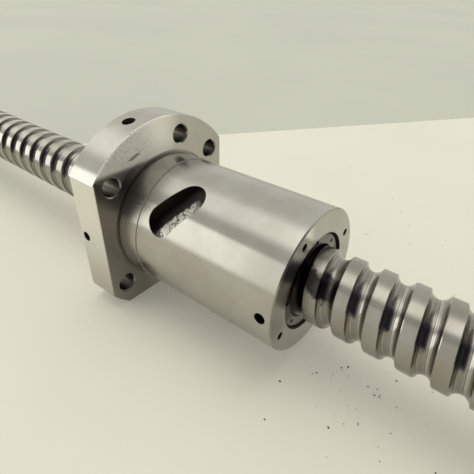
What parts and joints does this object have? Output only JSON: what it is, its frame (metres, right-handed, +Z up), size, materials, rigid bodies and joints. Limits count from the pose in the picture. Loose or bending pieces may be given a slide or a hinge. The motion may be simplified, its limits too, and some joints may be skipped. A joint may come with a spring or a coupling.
{
  "type": "ball screw assembly",
  "caption": "Ground ball screw with a flanged single nut, ball-return inserts, wipers, machined ends, support bearings, clamp nut and a keyed drive end.",
  "frame": {"origin": "centre of the flange's mounting face on the screw axis, with the nut at its rest place", "axes": "+X along the screw from the flange towards the nut's nose, +Z up, with the flange's lower flat facing -Z"},
  "size_m": [0.6585, 0.1, 0.111],
  "materials": {
    "nut_steel": "fine ground, satin",
    "screw_steel": "ground and polished thread",
    "insert_steel": "milled, bright",
    "ball_steel": "polished",
    "wiper_plastic": "oily black",
    "plate_steel": "satin",
    "black_steel": "black oxide",
    "pad_brass": "turned",
    "cage_brass": "machined",
    "bearing_steel": "ground",
    "collar_steel": "turned"
  },
  "bodies": {
    "bearing_outers": {"fixed_outer_ring_a": "bearing_steel", "fixed_outer_ring_b": "bearing_steel", "support_outer_ring": "bearing_steel"},
    "screw": {"screw_shaft": "screw_steel", "fixed_spacer": "collar_steel", "fixed_inner_ring_a": "bearing_steel", "fixed_inner_ring_b": "bearing_steel", "clamp_spacer": "collar_steel", "lock_nut": "black_steel", "lock_nut_screws": "black_steel", "lock_nut_pads": "pad_brass", "support_inner_ring": "bearing_steel", "support_circlip": "black_steel"},
    "nut": {"nut_body": "nut_steel", "return_insert_1": "insert_steel", "return_insert_2": "insert_steel", "return_insert_3": "insert_steel", "balls_circuit_1": "ball_steel", "balls_circuit_2": "ball_steel", "balls_circuit_3": "ball_steel", "front_wiper": "wiper_plastic", "rear_wiper": "wiper_plastic", "front_wiper_plate": "plate_steel", "rear_wiper_plate": "plate_steel", "front_wiper_screw": "black_steel", "rear_wiper_screw": "black_steel"},
    "fixed_ball_set_a": {"fixed_balls_a": "ball_steel", "fixed_cage_a": "cage_brass"},
    "fixed_ball_set_b": {"fixed_balls_b": "ball_steel", "fixed_cage_b": "cage_brass"},
    "support_ball_set": {"support_balls": "ball_steel", "support_cage": "cage_brass"}
  },
  "joints": [
    {"name": "screw_spin", "type": "hinge", "parent": "bearing_outers", "child": "screw", "pos_m": [0, 0, 0], "axis": [1, 0, 0], "range_deg": [-2520, 6480]},
    {"name": "nut_travel", "type": "slide", "parent": "bearing_outers", "child": "nut", "axis": [1, 0, 0], "range_m": [-0.2702, 0.1052]},
    {"name": "fixed_balls_spin_a", "type": "hinge", "parent": "bearing_outers", "child": "fixed_ball_set_a", "pos_m": [-0.316, 0, 0], "axis": [1, 0, 0], "range_deg": [-1000, 2570]},
    {"name": "fixed_balls_spin_b", "type": "hinge", "parent": "bearing_outers", "child": "fixed_ball_set_b", "pos_m": [-0.332, 0, 0], "axis": [1, 0, 0], "range_deg": [-1000, 2570]},
    {"name": "support_balls_spin", "type": "hinge", "parent": "bearing_outers", "child": "support_ball_set", "pos_m": [0.233, 0, 0], "axis": [1, 0, 0], "range_deg": [-1000, 2570]}
  ],
  "couplings": [
    {"joint": "nut_travel", "follows": "screw_spin", "m_per_rad": -0.0023873},
    {"joint": "fixed_balls_spin_a", "follows": "screw_spin", "ratio": 0.39647},
    {"joint": "fixed_balls_spin_b", "follows": "screw_spin", "ratio": 0.39647},
    {"joint": "support_balls_spin", "follows": "screw_spin", "ratio": 0.39647}
  ]
}
